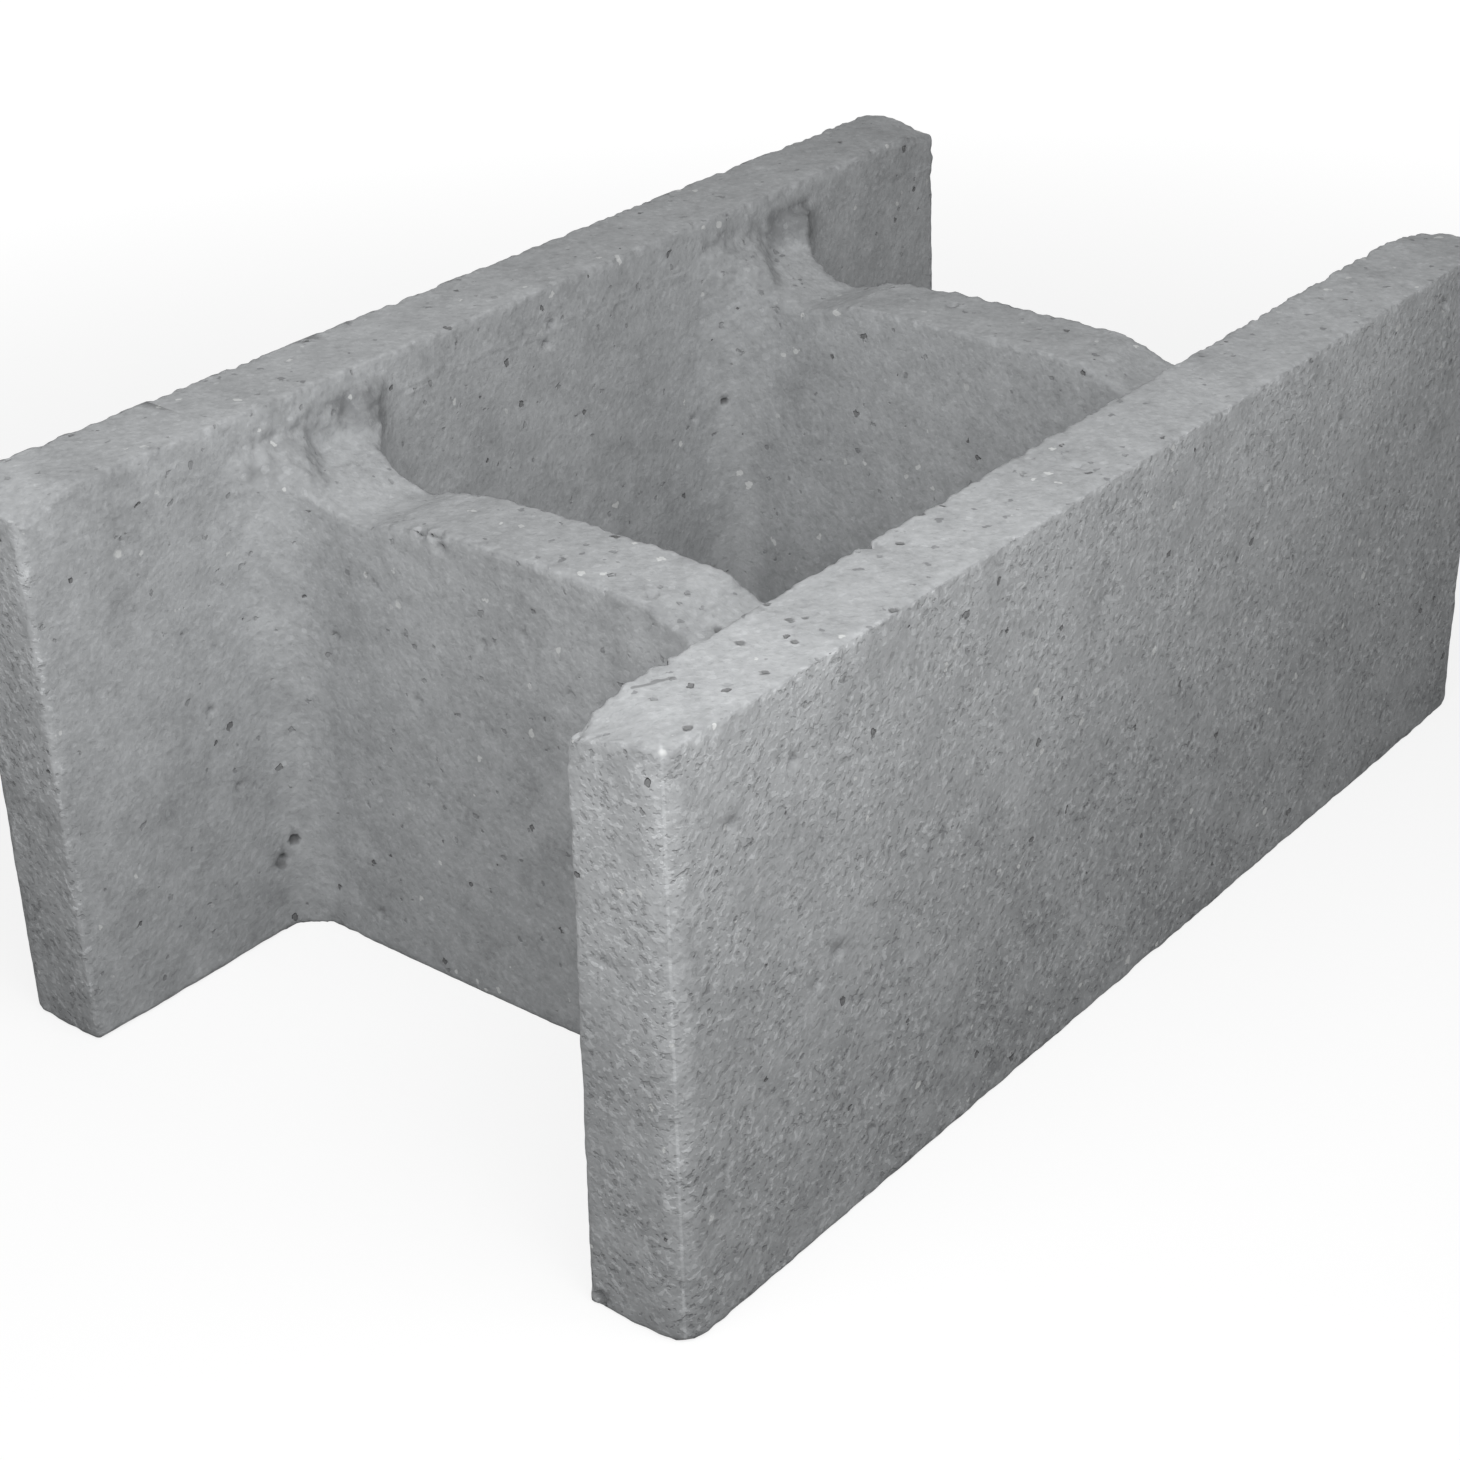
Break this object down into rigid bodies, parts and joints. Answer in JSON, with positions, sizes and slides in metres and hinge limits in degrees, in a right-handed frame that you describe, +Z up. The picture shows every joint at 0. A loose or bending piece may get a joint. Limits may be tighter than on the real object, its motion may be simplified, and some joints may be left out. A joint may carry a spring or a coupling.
{
  "type": "concrete formwork block",
  "caption": "Open-ended concrete formwork block: two long shells joined by recessed webs, for stacking dry and filling with concrete.",
  "frame": {"origin": "centre of the underside, on the surface that the block stands on", "axes": "+X along the length of the shells, +Y across the wall from one shell to the other, +Z up, with the recessed side of the webs on top"},
  "size_m": [0.5, 0.3, 0.2],
  "materials": {
    "concrete": "rough pitted semi-dry pressed concrete, light grey"
  },
  "bodies": {
    "root": {"block": "concrete"}
  },
  "joints": []
}
